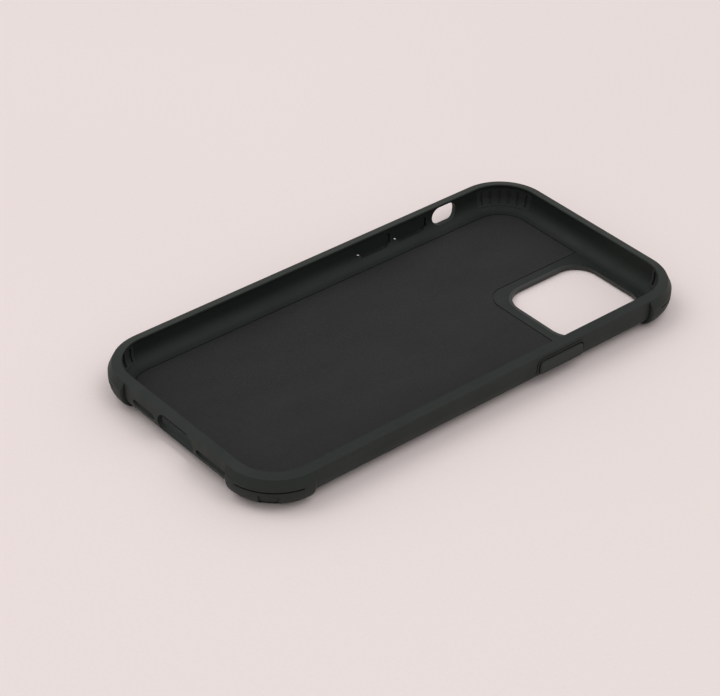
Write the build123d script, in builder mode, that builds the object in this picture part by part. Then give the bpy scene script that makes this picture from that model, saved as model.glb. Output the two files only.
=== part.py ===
"""Protective case for a mobile phone, 144 x 71.4 x 8.1 mm.

A soft bumper frame grips the edge of the phone and carries everything else: a rigid
back plate with a soft lining, a guard ring round the rear camera, four shock dampers
inside the corners and three push buttons that slide in windows through the side walls.

Millimetres. The case lies on its back: Z is up, out of the phone's screen, Y points to
the phone's top end and X to the side with the power button. The origin is the centre of
the plane that the case rests on. Offsets called "out" are measured outwards from the
side of the phone's body, so a negative one lies over the phone.
"""
import os
from math import acos, asin, cos, degrees, radians, sin

from build123d import *

# ---------------------------------------------------------------- the phone that fits
body_width = 71.4
body_length = 144.0
body_thickness = 8.1
body_corner_radius = 12.65
body_clearance = 0.05

# ---------------------------------------------------------------- back of the case
rim_height = 0.3            # the frame's rim stands this far behind the back plate
plate_thickness = 0.95
lining_thickness = 0.3

# ---------------------------------------------------------------- frame section
lip_height = 0.45           # lip above the glass
lip_reach = 1.25            # lip over the edge of the glass
lip_edge = 0.18             # bevel of the lip's inner edge
lip_root = 1.0              # height of the slope under the lip
band_drop = 0.62            # fall of the sloping band round the lip
panel_out = 1.5             # face of the side panels
panel_round = 6.1           # radius of the lower edge at the panels
bulge_out = 2.6             # face of the corner bumpers
bulge_round = 5.7
bulge_flare = 2.3           # height over which a corner bumper swells out of the band
bulge_arm = 16.5            # reach of a corner bumper along each side, from its face
bulge_end_round = 0.8
bulge_root = 0.7            # how deep a corner bumper is rooted in the wall
ledge_inset = 6.5           # inner edge of the ledge under the back plate
ledge_rise = 0.4            # ledge above the back plate's underside

# ---------------------------------------------------------------- back plate fit
plate_clearance = 0.05
flange_inset = 3.1          # outer wall of the slot that holds the plate's flange
flange_thickness = 0.45
slot_cover = 0.65           # how far the frame reaches over the flange
lining_gap = 0.25           # lining to the frame
lining_corner_gap = 0.3

# ---------------------------------------------------------------- rear camera window
camera_width = 29.4
camera_length = 31.4
camera_corner_radius = 8.0
camera_inset = 5.2          # window edge to the side and the top of the phone
deck_border = 3.6           # deck of the frame round the window
deck_drop = 0.05            # deck below the phone's back
deck_lap = 1.2              # back plate's flange over the edge of the deck
deck_corner_radius = 6.0
deck_join_inset = 2.9       # where the deck merges into the frame's wall
ring_wall = 1.0
ring_flange = 1.2
ring_flange_thickness = 0.7
ring_bevel = 0.35
ring_clearance = 0.05

# ---------------------------------------------------------------- port end
port_width = 15.0
port_height = 6.6
speaker_height = 1.8
speaker_near = 8.9          # both speaker slots start here from the centre line
speaker_left_end = 18.2
speaker_right_end = 21.6

# ---------------------------------------------------------------- corner details
groove_height = 0.4
groove_depth = 0.6
groove_drop = 3.9           # below the top of the lip
groove_angle = 70.0
notch_width = 5.4
notch_depth = 0.55
notch_drop = 5.1            # top of the notch, below the top of the lip
notch_wrap = 60.0           # how far it follows the bumper's lower edge round

# ---------------------------------------------------------------- corner dampers
damper_thickness = 1.0
damper_angle = 76.0
damper_top_drop = 1.6      # below the glass
damper_wrap = 42.0         # how far the pad follows the phone's lower edge round
damper_clearance = 0.05
damper_groove_count = 6
damper_groove_width = 0.9
damper_groove_depth = 0.45
damper_groove_margin = 0.6     # grooves to the pad's edges

# ---------------------------------------------------------------- push buttons
button_height = 3.9
button_corner_radius = 1.1
button_proud = 0.6          # cap beyond the side panel
button_edge = 0.45
button_gap = 0.35           # between a cap and its window
button_travel = 0.35
button_rear_gap = 0.05      # between a pressed button and the cavity wall
ear_length = 0.8
ear_height = 2.6
ear_thickness = 0.35
ear_clearance = 0.2
ear_seat_gap = 0.05         # ears to the shoulder they rest behind
surround_width = 0.5
surround_proud = 0.18
power_length = 15.5
power_place = 25.1          # centre of each button along Y
volume_length = 10.4
volume_up_place = 35.2
volume_down_place = 21.6
mute_length = 9.0
mute_height = 5.4
mute_place = 48.2

through = 12.0              # reach of the cutting tools past what they cut
root = 0.3                  # depth that raised details are sunk in the wall

# ---------------------------------------------------------------- levels and places
plate_level = rim_height + plate_thickness          # top of the back plate
phone_level = plate_level + lining_thickness        # the phone's back lies here
mid_level = phone_level + body_thickness / 2
glass_level = phone_level + body_thickness
case_height = glass_level + lip_height
band_level = case_height - band_drop                # lower edge of the band
ledge_level = rim_height + ledge_rise
slot_level = ledge_level + flange_thickness + plate_clearance
deck_level = phone_level - deck_drop
speaker_level = mid_level
groove_level = case_height - groove_drop
notch_level = case_height - notch_drop

half_width = body_width / 2
half_length = body_length / 2
corner_x = half_width - body_corner_radius
corner_y = half_length - body_corner_radius
bulge_start_x = half_width + bulge_out - bulge_arm
bulge_start_y = half_length + bulge_out - bulge_arm
camera_x = half_width - camera_inset - camera_width / 2
camera_y = half_length - camera_inset - camera_length / 2

ear_inner = body_clearance + button_rear_gap + button_travel    # rear of a button, out
ear_outer = ear_inner + ear_thickness
shoulder_out = ear_outer + ear_seat_gap
slot_inner = flange_inset + slot_cover              # inner edge of the cover, inset

cavity_round = body_thickness / 2 + body_clearance
cavity_centre = (-body_thickness / 2, mid_level)    # section centres as (out, level)
panel_centre = (panel_out - panel_round, panel_round)
bulge_centre = (bulge_out - bulge_round, bulge_round)
cover_angle = degrees(acos((-slot_inner - cavity_centre[0]) / cavity_round))

bumper_radius = body_corner_radius + bulge_out      # bumper's face from the corner's axis
notch_angle = degrees(notch_width / bumper_radius)
notch_turn = notch_wrap - degrees(asin((bulge_round - notch_level) / (bulge_round - notch_depth)))
damper_top = glass_level - damper_top_drop
window_radius = button_corner_radius + button_gap
damper_pocket_angle = damper_angle + 2 * degrees(damper_clearance / body_corner_radius)


buttons = {                 # side, place along Y, length
    "power_button": (1, power_place, power_length),
    "volume_up_button": (-1, volume_up_place, volume_length),
    "volume_down_button": (-1, volume_down_place, volume_length),
}


def wall_point(out, level):
    """Point of a side wall's section, on a plane across the long side."""
    return (half_width + out, level)


def corner_point(out, level):
    """Point of a corner's section, on a plane through the corner's axis."""
    return (body_corner_radius + out, level)


def corner_plane(angle):
    """Upright plane through the corner's axis: X outwards, Y up."""
    outwards = (cos(radians(angle)), sin(radians(angle)), 0)
    normal = (sin(radians(angle)), -cos(radians(angle)), 0)
    return Plane(origin=(corner_x, corner_y, 0), x_dir=outwards, z_dir=normal)


corner_axis = Axis((corner_x, corner_y, 0), (0, 0, 1))


def body_outline(out, mode=Mode.ADD):
    """The phone's outline, grown by out."""
    RectangleRounded(
        body_width + 2 * out, body_length + 2 * out, body_corner_radius + out, mode=mode
    )


def deck_block(inset, mode=Mode.ADD):
    """The camera deck's corner of the case, its two inner sides moved in by inset."""
    reach = body_width
    left = camera_x - camera_width / 2 - deck_border + inset
    low = camera_y - camera_length / 2 - deck_border + inset
    with Locations((left + reach / 2, low + reach / 2)):
        RectangleRounded(reach, reach, deck_corner_radius, mode=mode)


def camera_window(grow, mode=Mode.ADD):
    """The camera window's outline, grown all round."""
    with Locations((camera_x, camera_y)):
        RectangleRounded(
            camera_width + 2 * grow,
            camera_length + 2 * grow,
            camera_corner_radius + grow,
            mode=mode,
        )


def pad_profile(near, far, margin):
    """Band along the cavity wall's section in a corner, from near to far behind it.

    Its top and its lower end lie beyond a damper's by margin.
    """
    wrap = damper_wrap + degrees(margin / cavity_round)
    top = damper_top + margin
    centre = corner_point(*cavity_centre)
    front = CenterArc(centre, cavity_round + near, -wrap, wrap)
    rear = CenterArc(centre, cavity_round + far, -wrap, wrap)
    Line(front @ 0, rear @ 0)
    Polyline(
        front @ 1,
        corner_point(body_clearance + near, top),
        corner_point(body_clearance + far, top),
        rear @ 1,
    )


def quarter_path(start_y, end_x):
    """Path along the phone's side, from start_y round the corner to end_x."""
    Line((half_width, start_y), (half_width, corner_y))
    CenterArc((corner_x, corner_y), body_corner_radius, 0, 90)
    Line((corner_x, half_length), (end_x, half_length))


def side_plane(side, out):
    """Plane on a long side, X along the case and Y up, facing outwards."""
    return Plane(
        origin=(side * (half_width + out), 0, 0), x_dir=(0, side, 0), z_dir=(side, 0, 0)
    )


def button_outline(side, place, length, height, radius):
    """Rounded outline of a button, or of what surrounds it, on a side plane."""
    with Locations((side * place, mid_level)):
        RectangleRounded(length, height, radius)


# ================================================================ bumper frame
# A corner bumper, swept round one corner. Its inner side is trimmed with the wall's.
with BuildPart() as bulge:
    with BuildSketch(Plane.XZ.offset(-bulge_start_y)):
        with BuildLine():
            Polyline(
                wall_point(bulge_centre[0], 0),
                wall_point(panel_centre[0], 0),
                wall_point(panel_centre[0], mid_level),
                wall_point(panel_out - bulge_root, band_level - bulge_root / 2),
                wall_point(panel_out, band_level),
                wall_point(bulge_out, band_level - bulge_flare),
                wall_point(bulge_out, bulge_round),
            )
            CenterArc(wall_point(*bulge_centre), bulge_round, -90, 90)
        make_face()
    with BuildLine(Plane.XY):
        quarter_path(bulge_start_y, bulge_start_x)
    sweep()
    side_end = edges().filter_by_position(Axis.Y, bulge_start_y, bulge_start_y)
    top_end = edges().filter_by_position(Axis.X, bulge_start_x, bulge_start_x)
    fillet(
        side_end.group_by(Axis.X)[-1] + top_end.group_by(Axis.Y)[-1], radius=bulge_end_round
    )

# One quarter of the frame, with its corner's groove, notch and damper pocket.
with BuildPart() as quarter:
    with BuildSketch(Plane.XZ):
        with BuildLine():
            Polyline(
                wall_point(panel_centre[0], 0),
                wall_point(-ledge_inset, 0),
                wall_point(-ledge_inset, glass_level),
                wall_point(-lip_reach, glass_level),
                wall_point(-lip_reach, case_height - lip_edge),
                wall_point(lip_edge - lip_reach, case_height),
                wall_point(panel_out, band_level),
                wall_point(panel_out, panel_round),
            )
            CenterArc(wall_point(*panel_centre), panel_round, -90, 90)
        make_face()
    with BuildLine(Plane.XY):
        quarter_path(0, 0)
    sweep()
    add(bulge.part)
    with BuildSketch(Plane.XZ):
        with BuildLine():
            cavity = CenterArc(
                wall_point(*cavity_centre), cavity_round, -cover_angle, cover_angle
            )
            Polyline(
                cavity @ 1,
                wall_point(body_clearance, glass_level - lip_root),
                wall_point(-lip_reach, glass_level),
                wall_point(-ledge_inset - root, glass_level),
                wall_point(-ledge_inset - root, ledge_level),
                wall_point(-flange_inset, ledge_level),
                wall_point(-flange_inset, slot_level),
                wall_point(-slot_inner, slot_level),
                cavity @ 0,
            )
        make_face()
    with BuildLine(Plane.XY):
        quarter_path(0, 0)
    sweep(mode=Mode.SUBTRACT)
    with BuildSketch(corner_plane(45 - groove_angle / 2)):
        with Locations(corner_point(bulge_out, groove_level)):
            Rectangle(2 * groove_depth, groove_height)
    revolve(axis=corner_axis, revolution_arc=groove_angle, mode=Mode.SUBTRACT)
    with BuildSketch(corner_plane(45 - notch_angle / 2)):
        with BuildLine():
            floor = CenterArc(
                corner_point(*bulge_centre), bulge_round - notch_depth, -notch_wrap, notch_turn
            )
            Polyline(
                floor @ 1,
                corner_point(bulge_out + root, notch_level),
                corner_point(bulge_out + root, -root),
                ((floor @ 0).X, -root),
                floor @ 0,
            )
        make_face()
    revolve(axis=corner_axis, revolution_arc=notch_angle, mode=Mode.SUBTRACT)
    with BuildSketch(corner_plane(45 - damper_pocket_angle / 2)):
        with BuildLine():
            pad_profile(-root, damper_thickness + damper_clearance, damper_clearance)
        make_face()
    revolve(axis=corner_axis, revolution_arc=damper_pocket_angle, mode=Mode.SUBTRACT)
    mirror(about=Plane.XZ)
    mirror(about=Plane.YZ)

# Raised surrounds of the button windows, lying on the side panels.
surrounds = []
for side, place, length in buttons.values():
    with BuildPart() as surround:
        with BuildSketch(Plane.XZ.offset(-place)):
            with BuildLine():
                face = CenterArc(
                    wall_point(*panel_centre), panel_round + surround_proud, -90, 90
                )
                Polyline(
                    face @ 1,
                    wall_point(panel_out + surround_proud, band_level),
                    wall_point(panel_out - root, band_level),
                    wall_point(panel_out - root, panel_round),
                )
                rear = CenterArc(wall_point(*panel_centre), panel_round - root, -90, 90)
                Line(rear @ 0, face @ 0)
            make_face()
        extrude(amount=length, both=True)
        with BuildSketch(side_plane(1, 0)):
            button_outline(
                1,
                place,
                length + 2 * (button_gap + surround_width),
                button_height + 2 * (button_gap + surround_width),
                window_radius + surround_width,
            )
        extrude(amount=through, both=True, mode=Mode.INTERSECT)
    surrounds.append(surround.part if side > 0 else mirror(surround.part, about=Plane.YZ))

with BuildPart() as bumper_frame:
    add(quarter.part)
    add(surrounds)

    # camera deck in the top corner, with a step for the back plate's flange
    with BuildSketch(Plane.XY.offset(rim_height)):
        body_outline(-deck_join_inset)
        deck_block(0, mode=Mode.INTERSECT)
    extrude(amount=ledge_rise)
    with BuildSketch(Plane.XY.offset(ledge_level)):
        body_outline(-deck_join_inset)
        deck_block(deck_lap, mode=Mode.INTERSECT)
    extrude(amount=deck_level - ledge_level)
    with BuildSketch(Plane.XY):
        camera_window(0)
    extrude(amount=phone_level, mode=Mode.SUBTRACT)
    with BuildSketch(Plane.XY):
        camera_window(ring_flange + ring_clearance)
    extrude(amount=ring_flange_thickness, mode=Mode.SUBTRACT)

    # port and speaker slots through the bottom end
    with BuildSketch(Plane.XZ.offset(half_length - flange_inset)):
        with Locations((0, mid_level)):
            SlotOverall(port_width, port_height)
        with Locations((-(speaker_near + speaker_left_end) / 2, speaker_level)):
            SlotOverall(speaker_left_end - speaker_near, speaker_height)
        with Locations(((speaker_near + speaker_right_end) / 2, speaker_level)):
            SlotOverall(speaker_right_end - speaker_near, speaker_height)
    extrude(amount=through, mode=Mode.SUBTRACT)

    # cut-out for the phone's mute switch
    with BuildSketch(side_plane(-1, -flange_inset)):
        with Locations((-mute_place, mid_level)):
            SlotOverall(mute_length, mute_height)
    extrude(amount=through, mode=Mode.SUBTRACT)

    # button windows, each with a pocket behind it for the button's ears
    for side, place, length in buttons.values():
        with BuildSketch(side_plane(side, -flange_inset)):
            button_outline(
                side,
                place,
                length + 2 * button_gap,
                button_height + 2 * button_gap,
                window_radius,
            )
        extrude(amount=through, mode=Mode.SUBTRACT)
        with BuildSketch(side_plane(side, -flange_inset)):
            button_outline(
                side,
                place,
                length + 2 * (ear_length + ear_clearance),
                ear_height + 2 * ear_clearance,
                ear_clearance,
            )
        extrude(amount=flange_inset + shoulder_out, mode=Mode.SUBTRACT)
bumper_frame.part.label = "bumper_frame"

# ================================================================ back plate
# Its flange is held in the frame's slot and laps over the edge of the camera deck.
with BuildPart() as back_plate:
    with BuildSketch(Plane.XY.offset(rim_height)):
        body_outline(-ledge_inset - plate_clearance)
        deck_block(-plate_clearance, mode=Mode.SUBTRACT)
    extrude(amount=ledge_rise)
    with BuildSketch(Plane.XY.offset(ledge_level)):
        body_outline(-flange_inset - plate_clearance)
        deck_block(deck_lap - plate_clearance, mode=Mode.SUBTRACT)
    extrude(amount=flange_thickness)
    with BuildSketch(Plane.XY.offset(ledge_level + flange_thickness)):
        body_outline(-slot_inner - plate_clearance)
        deck_block(deck_lap - plate_clearance, mode=Mode.SUBTRACT)
    extrude(amount=plate_level - ledge_level - flange_thickness)
back_plate.part.label = "back_plate"

# ================================================================ soft lining
with BuildPart() as back_lining:
    with BuildSketch(Plane.XY.offset(plate_level)):
        body_outline(-slot_inner - lining_gap)
        deck_block(deck_lap - lining_gap, mode=Mode.SUBTRACT)
    extrude(amount=lining_thickness)
back_lining.part.label = "back_lining"

# ================================================================ camera guard ring
with BuildPart() as camera_ring:
    with BuildSketch(Plane.XY):
        camera_window(ring_flange)
        camera_window(-ring_wall, mode=Mode.SUBTRACT)
    extrude(amount=ring_flange_thickness - ring_clearance)
    with BuildSketch(Plane.XY):
        camera_window(-ring_clearance)
        camera_window(-ring_wall, mode=Mode.SUBTRACT)
    extrude(amount=deck_level)
    chamfer(faces().sort_by(Axis.Z)[0].inner_wires().edges(), length=ring_bevel)
camera_ring.part.label = "camera_ring"

# ================================================================ corner dampers
with BuildPart() as corner_damper:
    with BuildSketch(corner_plane(45 - damper_angle / 2)):
        with BuildLine():
            pad_profile(0, damper_thickness, 0)
        make_face()
    revolve(axis=corner_axis, revolution_arc=damper_angle)
    groove_turn = degrees(damper_groove_width / body_corner_radius)
    for number in range(damper_groove_count):
        middle = damper_angle * ((number + 0.5) / damper_groove_count - 0.5)
        with BuildSketch(corner_plane(45 + middle - groove_turn / 2)):
            with BuildLine():
                pad_profile(-root, damper_groove_depth, -damper_groove_margin)
            make_face()
        revolve(axis=corner_axis, revolution_arc=groove_turn, mode=Mode.SUBTRACT)

top_left = mirror(corner_damper.part, about=Plane.YZ)
dampers = {
    "corner_damper_top_right": corner_damper.part,
    "corner_damper_top_left": top_left,
    "corner_damper_bottom_right": mirror(corner_damper.part, about=Plane.XZ),
    "corner_damper_bottom_left": mirror(top_left, about=Plane.XZ),
}

# ================================================================ push buttons
button_parts = {}
for name, (side, place, length) in buttons.items():
    with BuildPart() as button:
        with BuildSketch(side_plane(side, ear_inner)):
            button_outline(side, place, length, button_height, button_corner_radius)
        extrude(amount=panel_out + button_proud - ear_inner)
        cap_face = faces().sort_by(Axis.X)[-1 if side > 0 else 0]
        fillet(cap_face.edges(), radius=button_edge)
        with BuildSketch(side_plane(side, ear_inner)):
            button_outline(side, place, length + 2 * ear_length, ear_height, ear_clearance)
        extrude(amount=ear_thickness)
    button_parts[name] = button.part

# ================================================================ export
os.makedirs("parts", exist_ok=True)
export_step(bumper_frame.part, "parts/bumper_frame.step")
export_step(back_plate.part, "parts/back_plate.step")
export_step(back_lining.part, "parts/back_lining.step")
export_step(camera_ring.part, "parts/camera_ring.step")
for name, piece in {**dampers, **button_parts}.items():
    piece.label = name
    export_step(piece, f"parts/{name}.step")
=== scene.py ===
"""Looks of a slim bumper case for a phone, lying on its back on a pale floor.

The CAD nodes keep their shapes and get procedural materials. The back's lining is a sheet
of microfibre made here. Lengths are in metres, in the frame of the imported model.
"""

import math

import bmesh
import bpy
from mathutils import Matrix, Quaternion, Vector, noise as turbulence


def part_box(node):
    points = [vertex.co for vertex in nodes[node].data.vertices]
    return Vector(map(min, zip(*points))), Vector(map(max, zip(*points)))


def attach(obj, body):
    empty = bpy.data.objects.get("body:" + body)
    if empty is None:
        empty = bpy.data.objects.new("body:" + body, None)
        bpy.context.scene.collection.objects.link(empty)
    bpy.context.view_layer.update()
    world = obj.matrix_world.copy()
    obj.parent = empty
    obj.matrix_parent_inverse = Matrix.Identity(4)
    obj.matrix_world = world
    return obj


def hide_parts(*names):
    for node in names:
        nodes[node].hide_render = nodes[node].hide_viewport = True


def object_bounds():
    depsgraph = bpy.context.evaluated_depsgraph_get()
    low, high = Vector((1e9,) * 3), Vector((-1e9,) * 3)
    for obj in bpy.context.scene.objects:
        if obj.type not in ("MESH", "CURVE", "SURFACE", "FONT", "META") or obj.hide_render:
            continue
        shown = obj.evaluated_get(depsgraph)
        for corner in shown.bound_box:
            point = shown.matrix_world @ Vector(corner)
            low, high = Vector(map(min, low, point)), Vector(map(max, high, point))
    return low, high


MM = 0.001

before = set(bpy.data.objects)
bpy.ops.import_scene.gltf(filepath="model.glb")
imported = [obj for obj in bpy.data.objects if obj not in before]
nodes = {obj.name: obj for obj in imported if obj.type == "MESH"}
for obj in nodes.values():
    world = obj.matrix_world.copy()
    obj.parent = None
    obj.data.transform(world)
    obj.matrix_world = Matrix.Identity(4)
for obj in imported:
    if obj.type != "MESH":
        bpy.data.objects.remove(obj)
cad_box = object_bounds()
case_top = cad_box[1].z

# ------------------------------------------------------------------ camera
CAMERA_AZIMUTH = 49.848       # degrees, 0 looks along +Y
CAMERA_ELEVATION = 35.55
CAMERA_ROLL = 0.701
CAMERA_DISTANCE = 0.618
CAMERA_LENS = 118.1           # mm, on SENSOR_WIDTH
SENSOR_WIDTH = 36
CLIP_START = 0.01
CLIP_END = 20
CAMERA_AIM = Vector((5.2 * MM, -17.26 * MM, case_top))


def direction(azimuth, elevation):
    """Unit vector from the object towards a viewer or a lamp, angles in degrees."""
    turn, lift = math.radians(azimuth), math.radians(elevation)
    return Vector(
        (
            math.sin(turn) * math.cos(lift),
            -math.cos(turn) * math.cos(lift),
            math.sin(lift),
        )
    )


def make_camera():
    data = bpy.data.cameras.new("camera")
    data.lens = CAMERA_LENS
    data.sensor_width = SENSOR_WIDTH
    data.clip_start = CLIP_START
    data.clip_end = CLIP_END
    camera = bpy.data.objects.new("camera", data)
    bpy.context.scene.collection.objects.link(camera)
    back = direction(CAMERA_AZIMUTH, CAMERA_ELEVATION)
    camera.location = CAMERA_AIM + back * CAMERA_DISTANCE
    camera.rotation_mode = "QUATERNION"
    roll = Quaternion((0, 0, 1), math.radians(CAMERA_ROLL))
    camera.rotation_quaternion = (-back).to_track_quat("-Z", "Y") @ roll
    bpy.context.scene.camera = camera


# ------------------------------------------------------------------ shader nodes
COLOUR_SOCKETS = (6, 7)       # the two colours of a mix node, and its result
COLOUR_RESULT = 2


def new_material(name):
    """An empty node material and its Principled shader."""
    material = bpy.data.materials.new(name)
    material.use_nodes = True
    shader = material.node_tree.nodes["Principled BSDF"]
    return material, shader


def add(material, kind, **settings):
    """Adds a node; settings are its properties, or its inputs' values by name."""
    node = material.node_tree.nodes.new(kind)
    for key, value in settings.items():
        if hasattr(node, key):
            setattr(node, key, value)
        else:
            node.inputs[key.replace("_", " ")].default_value = value
    return node


def link(material, source, target):
    material.node_tree.links.new(source, target)


def noise(material, size, detail=3.0, roughness=0.55, stretch=(1, 1, 1)):
    """Noise over the object's own coordinates, with features of about size metres."""
    place = add(material, "ShaderNodeTexCoord")
    scaled = add(material, "ShaderNodeMapping")
    scaled.inputs["Scale"].default_value = [s / size for s in stretch]
    link(material, place.outputs["Object"], scaled.inputs["Vector"])
    texture = add(
        material, "ShaderNodeTexNoise", Scale=1.0, Detail=detail, Roughness=roughness
    )
    link(material, scaled.outputs["Vector"], texture.inputs["Vector"])
    return texture.outputs["Fac"]


def spread(material, value, low, high, start=0.3, end=0.7):
    """Maps a noise value from start..end to low..high."""
    node = add(material, "ShaderNodeMapRange")
    node.inputs["From Min"].default_value = start
    node.inputs["From Max"].default_value = end
    node.inputs["To Min"].default_value = low
    node.inputs["To Max"].default_value = high
    link(material, value, node.inputs["Value"])
    return node.outputs["Result"]


def mix_colours(material, factor, first, second):
    """Blends two colours, each an (r, g, b) or an output socket, by factor."""
    node = add(material, "ShaderNodeMix", data_type="RGBA")
    link(material, factor, node.inputs["Factor"])
    for number, colour in zip(COLOUR_SOCKETS, (first, second)):
        if isinstance(colour, tuple):
            node.inputs[number].default_value = (*colour, 1)
        else:
            link(material, colour, node.inputs[number])
    return node.outputs[COLOUR_RESULT]


def bump(material, height, distance, strength=1.0, below=None):
    """A normal bent by height, over the one below it."""
    node = add(material, "ShaderNodeBump", Strength=strength, Distance=distance)
    link(material, height, node.inputs["Height"])
    if below:
        link(material, below, node.inputs["Normal"])
    return node.outputs["Normal"]


def shaded(colour, factor):
    """A lighter or darker copy of a colour."""
    return tuple(c * factor for c in colour)


# ------------------------------------------------------------------ moulded pieces
PATCH_SIZE = 14 * MM          # patches between a colour and its tint
SPECKLE_SIZE = 0.35 * MM
SPECKLE_SHADE = 0.8
SPECKLE_SHARE = 0.35
SPECKLE_RANGE = (0.35, 0.6)
SMEAR_SIZE = 6 * MM           # marks of handling
SMEAR_STRETCH = (1, 0.4, 1)
SMEAR_POLISH = 0.05           # roughness lost and gained in the marks
SMEAR_DULL = 0.06
WAVE_SIZE = 9 * MM            # unevenness of the moulding
WAVE_DEPTH = 0.02 * MM
WAVE_STRENGTH = 0.5
SHEEN_ROUGHNESS = 0.5

SOFT_GREEN = (0.0120, 0.0165, 0.0138)
SOFT_TINT = (0.0148, 0.0192, 0.0162)
HARD_GREEN = (0.011, 0.015, 0.013)
HARD_TINT = (0.013, 0.017, 0.015)
RING_GREEN = (0.011, 0.014, 0.012)
RING_TINT = (0.012, 0.016, 0.014)
DAMPER_GREY = (0.020, 0.024, 0.022)
DAMPER_TINT = (0.024, 0.028, 0.025)


def moulded(name, colour, tint, roughness, grain, depth, gloss=0.25, sheen=0.0):
    """Moulded plastic or elastomer: fine spark-eroded grain and faint marks of handling."""
    material, shader = new_material(name)
    patches = noise(material, PATCH_SIZE, detail=2)
    speckle = noise(material, SPECKLE_SIZE, detail=2)
    base = mix_colours(material, spread(material, patches, 0, 1), colour, tint)
    specks = spread(material, speckle, SPECKLE_SHARE, 0, *SPECKLE_RANGE)
    mixed = mix_colours(material, specks, base, shaded(colour, SPECKLE_SHADE))
    link(material, mixed, shader.inputs["Base Color"])
    smears = noise(material, SMEAR_SIZE, detail=4, stretch=SMEAR_STRETCH)
    rough = spread(material, smears, roughness - SMEAR_POLISH, roughness + SMEAR_DULL)
    link(material, rough, shader.inputs["Roughness"])
    fine = bump(material, noise(material, grain, detail=2), depth)
    waves = noise(material, WAVE_SIZE, detail=1)
    wavy = bump(material, waves, WAVE_DEPTH, WAVE_STRENGTH, below=fine)
    link(material, wavy, shader.inputs["Normal"])
    shader.inputs["Specular IOR Level"].default_value = gloss
    shader.inputs["Sheen Weight"].default_value = sheen
    shader.inputs["Sheen Roughness"].default_value = SHEEN_ROUGHNESS
    return material


def paint(node, material):
    for slot in nodes[node].material_slots:
        slot.material = material


def dress_cad():
    soft = moulded("soft_frame", SOFT_GREEN, SOFT_TINT, 0.58, 0.12 * MM, 0.010 * MM)
    hard = moulded("hard_back", HARD_GREEN, HARD_TINT, 0.46, 0.2 * MM, 0.012 * MM, 0.4)
    ring = moulded("guard_ring", RING_GREEN, RING_TINT, 0.4, 0.1 * MM, 0.006 * MM, 0.5)
    damper = moulded(
        "damper", DAMPER_GREY, DAMPER_TINT, 0.66, 0.15 * MM, 0.012 * MM, sheen=0.05
    )
    button = moulded("button", SOFT_GREEN, SOFT_TINT, 0.5, 0.1 * MM, 0.006 * MM, 0.32)
    for name in nodes:
        if name.endswith("button"):
            paint(name, button)
        elif name.startswith("corner_damper"):
            paint(name, damper)
    paint("bumper_frame", soft)
    paint("back_plate", hard)
    paint("camera_ring", ring)


# ------------------------------------------------------------------ lining
LINING_GREY = (0.014, 0.0145, 0.0145)
LINING_TINT = (0.018, 0.0185, 0.0185)
LINING_GLOSS = 0.2
LINING_ROUGHNESS = 0.95
LINING_SHEEN = 0.12
LINING_SHEEN_ROUGHNESS = 0.45
BRUSHED_SIZE = 11 * MM        # patches where the pile lies one way
BRUSHED_STRETCH = (1, 0.5, 1)
BRUSHED_DEPTH = 0.12 * MM
BRUSHED_STRENGTH = 0.6
FIBRE_SIZE = 0.28 * MM
FIBRE_ROUGHNESS = 0.7
FIBRE_DEPTH = 0.08 * MM
STRAND_SIZE = 0.5 * MM
STRAND_STRETCH = (1, 3.2, 1)
STRAND_DEPTH = 0.05 * MM
STRAND_STRENGTH = 0.7
FLECK_SHARE = 0.55
FLECK_RANGE = (0.5, 0.72)
FLECK_SHADE = 1.9

LINING_ROUND = 0.12 * MM      # soft edge of the sheet
LINING_ROUND_STEPS = 3
LINING_GRID = 2.0 * MM
LINING_WAVE = 0.05 * MM       # unevenness left by the glue
LINING_WAVE_LENGTH = 9.0 * MM
WELD_DISTANCE = 0.001 * MM
FLAT_ANGLE = 1                # degrees between faces that count as one
LEVEL_TOLERANCE = 0.01 * MM   # vertices this near the top belong to it
AXES = (Vector((1, 0, 0)), Vector((0, 1, 0)))


def microfibre(name, colour, tint):
    """Short flock: tangled fibres about 0.2 mm long, brushed in soft patches."""
    material, shader = new_material(name)
    brushed = noise(material, BRUSHED_SIZE, detail=3, stretch=BRUSHED_STRETCH)
    fibres = noise(material, FIBRE_SIZE, detail=4, roughness=FIBRE_ROUGHNESS)
    strands = noise(material, STRAND_SIZE, detail=2, stretch=STRAND_STRETCH)
    base = mix_colours(material, spread(material, brushed, 0, 1), colour, tint)
    flecks = spread(material, fibres, 0, FLECK_SHARE, *FLECK_RANGE)
    mixed = mix_colours(material, flecks, base, shaded(tint, FLECK_SHADE))
    link(material, mixed, shader.inputs["Base Color"])
    shader.inputs["Roughness"].default_value = LINING_ROUGHNESS
    shader.inputs["Specular IOR Level"].default_value = LINING_GLOSS
    shader.inputs["Sheen Weight"].default_value = LINING_SHEEN
    shader.inputs["Sheen Roughness"].default_value = LINING_SHEEN_ROUGHNESS
    pile = bump(material, fibres, FIBRE_DEPTH)
    nap = bump(material, strands, STRAND_DEPTH, STRAND_STRENGTH, below=pile)
    lay = bump(material, brushed, BRUSHED_DEPTH, BRUSHED_STRENGTH, below=nap)
    link(material, lay, shader.inputs["Normal"])
    return material


def cut_grid(mesh, low, high, step):
    """Cuts a mesh along planes across X and Y, step apart."""
    for axis, normal in enumerate(AXES):
        for k in range(1, math.ceil((high[axis] - low[axis]) / step)):
            geometry = mesh.verts[:] + mesh.edges[:] + mesh.faces[:]
            place = low + normal * (k * step)
            bmesh.ops.bisect_plane(mesh, geom=geometry, plane_co=place, plane_no=normal)


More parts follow.
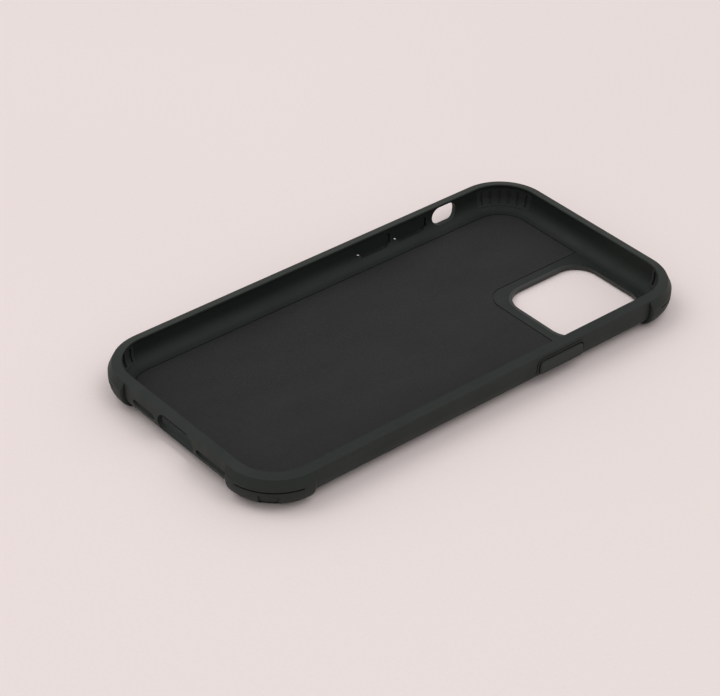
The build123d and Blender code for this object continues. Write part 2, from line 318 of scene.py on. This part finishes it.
def make_lining():
    """A sheet of microfibre on the back plate, with the CAD sheet's outline and thickness."""
    low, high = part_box("back_lining")
    top = high.z - LEVEL_TOLERANCE
    sheet = bmesh.new()
    sheet.from_mesh(nodes["back_lining"].data)
    bmesh.ops.remove_doubles(sheet, verts=sheet.verts, dist=WELD_DISTANCE)
    bmesh.ops.dissolve_limit(
        sheet, angle_limit=math.radians(FLAT_ANGLE), verts=sheet.verts, edges=sheet.edges
    )
    rim = [
        e
        for e in sheet.edges
        if all(v.co.z > top for v in e.verts)
        and any(abs(f.normal.z) < 0.5 for f in e.link_faces)
    ]
    area = sum(f.calc_area() for f in sheet.faces if f.normal.z > 0.9)
    bmesh.ops.bevel(
        sheet,
        geom=rim,
        offset=LINING_ROUND,
        segments=LINING_ROUND_STEPS,
        profile=0.5,
        affect="EDGES",
    )
    cut_grid(sheet, low, high, LINING_GRID)
    for v in sheet.verts:
        if v.co.z > top:
            sag = 0.5 + 0.5 * turbulence.noise(v.co / LINING_WAVE_LENGTH)
            v.co.z -= LINING_WAVE * sag
    for f in sheet.faces:
        f.smooth = f.normal.z > 0.2
    mesh = bpy.data.meshes.new("microfibre_lining")
    sheet.to_mesh(mesh)
    sheet.free()
    lining = bpy.data.objects.new("microfibre_lining", mesh)
    bpy.context.scene.collection.objects.link(lining)
    mesh.materials.append(microfibre("microfibre", LINING_GREY, LINING_TINT))
    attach(lining, "case")
    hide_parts("back_lining")


# ------------------------------------------------------------------ floor and light
FLOOR_COLOUR = (0.800, 0.715, 0.705)
FLOOR_REACH = 6
FLOOR_DROP = 0.02 * MM        # below the case, so that their faces don't meet
FLOOR_GRAIN = 0.9 * MM
FLOOR_GRAIN_SHADE = 0.97
FLOOR_GRAIN_SHARE = 0.5
FLOOR_TONE = 160 * MM         # slow drift of the floor's tone
FLOOR_TONE_SHADE = 1.02
FLOOR_ROUGHNESS = 0.9
FLOOR_GLOSS = 0.15
WORLD_COLOUR = (1, 0.985, 0.975)
WORLD_LIGHT = 0.74
LAMP_DISTANCE = 1.3
LAMP_SIZE = 0.9
LAMPS = {                     # azimuth, elevation, power
    "front_key": (-50, 58, 3.2),
    "side_key": (115, 66, 2.8),
}


def make_floor():
    mesh = bpy.data.meshes.new("floor")
    corners = [
        (-FLOOR_REACH, -FLOOR_REACH, 0),
        (FLOOR_REACH, -FLOOR_REACH, 0),
        (FLOOR_REACH, FLOOR_REACH, 0),
        (-FLOOR_REACH, FLOOR_REACH, 0),
    ]
    mesh.from_pydata(corners, [], [(0, 1, 2, 3)])
    floor = bpy.data.objects.new("floor", mesh)
    floor.location.z = -FLOOR_DROP
    bpy.context.scene.collection.objects.link(floor)
    material, shader = new_material("floor")
    grain = noise(material, FLOOR_GRAIN, detail=3)
    tone = noise(material, FLOOR_TONE, detail=1)
    drift = spread(material, tone, 0, 1)
    pale = mix_colours(material, drift, FLOOR_COLOUR, shaded(FLOOR_COLOUR, FLOOR_TONE_SHADE))
    grains = spread(material, grain, 0, FLOOR_GRAIN_SHARE)
    mixed = mix_colours(material, grains, pale, shaded(FLOOR_COLOUR, FLOOR_GRAIN_SHADE))
    link(material, mixed, shader.inputs["Base Color"])
    shader.inputs["Roughness"].default_value = FLOOR_ROUGHNESS
    shader.inputs["Specular IOR Level"].default_value = FLOOR_GLOSS
    mesh.materials.append(material)


def make_world():
    """Even light from all round; the camera sees the floor's colour past its edge."""
    world = bpy.data.worlds.new("studio")
    world.use_nodes = True
    tree = world.node_tree
    background = tree.nodes["Background"]
    background.inputs["Color"].default_value = (*WORLD_COLOUR, 1)
    background.inputs["Strength"].default_value = WORLD_LIGHT
    seen = tree.nodes.new("ShaderNodeBackground")
    seen.inputs["Color"].default_value = (*FLOOR_COLOUR, 1)
    path = tree.nodes.new("ShaderNodeLightPath")
    choose = tree.nodes.new("ShaderNodeMixShader")
    tree.links.new(path.outputs["Is Camera Ray"], choose.inputs["Fac"])
    tree.links.new(background.outputs["Background"], choose.inputs[1])
    tree.links.new(seen.outputs["Background"], choose.inputs[2])
    tree.links.new(choose.outputs["Shader"], tree.nodes["World Output"].inputs["Surface"])
    bpy.context.scene.world = world


def make_lamp(name, azimuth, elevation, power):
    """A round area lamp that shines at the middle of the case."""
    data = bpy.data.lights.new(name, "AREA")
    data.shape = "DISK"
    data.size = LAMP_SIZE
    data.energy = power
    lamp = bpy.data.objects.new(name, data)
    bpy.context.scene.collection.objects.link(lamp)
    towards = direction(azimuth, elevation)
    lamp.location = towards * LAMP_DISTANCE
    lamp.rotation_mode = "QUATERNION"
    lamp.rotation_quaternion = (-towards).to_track_quat("-Z", "Y")


# ------------------------------------------------------------------ the scene
make_camera()
dress_cad()
make_lining()
make_floor()
make_world()
for lamp_name, (azimuth, elevation, power) in LAMPS.items():
    make_lamp(lamp_name, azimuth, elevation, power)
bpy.context.scene.view_settings.view_transform = "Standard"
